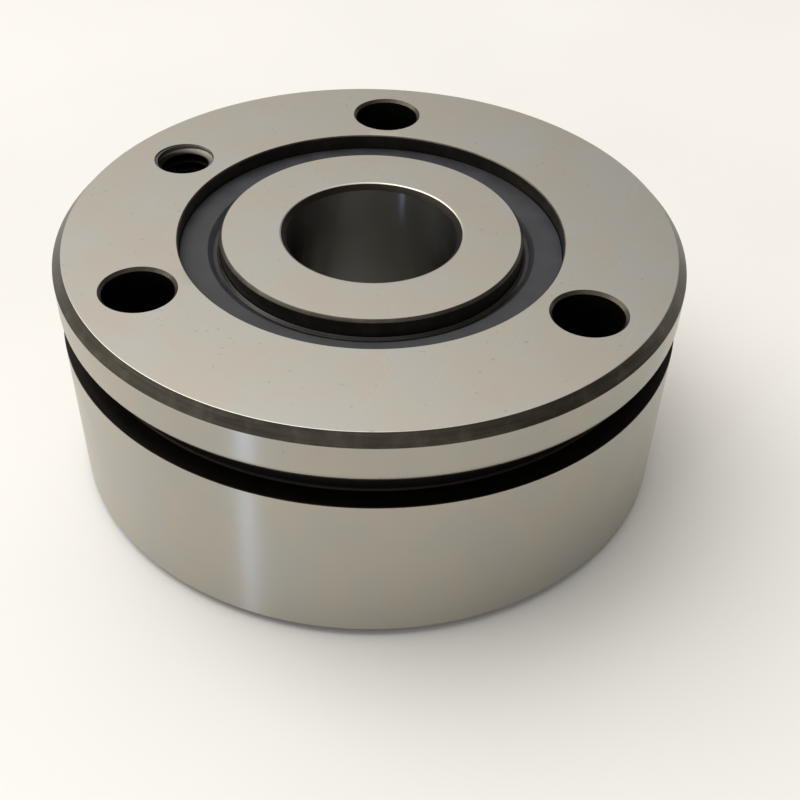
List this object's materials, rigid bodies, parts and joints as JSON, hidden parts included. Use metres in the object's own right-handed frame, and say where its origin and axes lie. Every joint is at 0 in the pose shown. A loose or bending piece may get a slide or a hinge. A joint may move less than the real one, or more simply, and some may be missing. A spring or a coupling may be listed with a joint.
{
  "type": "angular contact thrust ball bearing",
  "caption": "Sealed double row angular contact thrust ball bearing with a thick bolt-on outer ring, an extraction groove, a split inner ring and a threaded lubrication port.",
  "frame": {"origin": "on the bearing's axis at the bottom face, the face without a lubrication port", "axes": "+Z along the axis towards the face with the lubrication port, +Y through a fixing hole"},
  "size_m": [0.062, 0.062, 0.025],
  "materials": {
    "ground_ring_steel": "fine ground bearing steel with a dark heat-treated skin left in the groove and on the chamfers",
    "polished_ball_steel": "lapped and polished",
    "seal_rubber": "satin moulded nitrile rubber, blue-black",
    "sheet_steel": "stamped sheet steel",
    "cage_polyamide": "moulded glass-filled polyamide",
    "black_screw_steel": "black oxide"
  },
  "bodies": {
    "outer": {"outer_ring": "ground_ring_steel", "seal_upper": "seal_rubber", "seal_lower": "seal_rubber", "seal_insert_upper": "sheet_steel", "seal_insert_lower": "sheet_steel", "face_port_screw": "black_screw_steel", "side_port_screw": "black_screw_steel"},
    "inner": {"inner_ring_upper": "ground_ring_steel", "inner_ring_lower": "ground_ring_steel"},
    "upper_row": {"cage_upper": "cage_polyamide", "upper_ball_1": "polished_ball_steel", "upper_ball_2": "polished_ball_steel", "upper_ball_3": "polished_ball_steel", "upper_ball_4": "polished_ball_steel", "upper_ball_5": "polished_ball_steel", "upper_ball_6": "polished_ball_steel", "upper_ball_7": "polished_ball_steel", "upper_ball_8": "polished_ball_steel", "upper_ball_9": "polished_ball_steel", "upper_ball_10": "polished_ball_steel", "upper_ball_11": "polished_ball_steel", "upper_ball_12": "polished_ball_steel", "upper_ball_13": "polished_ball_steel", "upper_ball_14": "polished_ball_steel", "upper_ball_15": "polished_ball_steel"},
    "lower_row": {"cage_lower": "cage_polyamide", "lower_ball_1": "polished_ball_steel", "lower_ball_2": "polished_ball_steel", "lower_ball_3": "polished_ball_steel", "lower_ball_4": "polished_ball_steel", "lower_ball_5": "polished_ball_steel", "lower_ball_6": "polished_ball_steel", "lower_ball_7": "polished_ball_steel", "lower_ball_8": "polished_ball_steel", "lower_ball_9": "polished_ball_steel", "lower_ball_10": "polished_ball_steel", "lower_ball_11": "polished_ball_steel", "lower_ball_12": "polished_ball_steel", "lower_ball_13": "polished_ball_steel", "lower_ball_14": "polished_ball_steel", "lower_ball_15": "polished_ball_steel"}
  },
  "joints": [
    {"name": "inner_spin", "type": "hinge", "parent": "outer", "child": "inner", "pos_m": [0, 0, 0.0125], "axis": [0, 0, 1], "continuous": true},
    {"name": "upper_row_spin", "type": "hinge", "parent": "outer", "child": "upper_row", "pos_m": [0, 0, 0.0125], "axis": [0, 0, 1], "continuous": true},
    {"name": "lower_row_spin", "type": "hinge", "parent": "outer", "child": "lower_row", "pos_m": [0, 0, 0.0125], "axis": [0, 0, 1], "continuous": true}
  ],
  "couplings": [
    {"joint": "upper_row_spin", "follows": "inner_spin", "ratio": 0.45659},
    {"joint": "lower_row_spin", "follows": "inner_spin", "ratio": 0.45659}
  ]
}
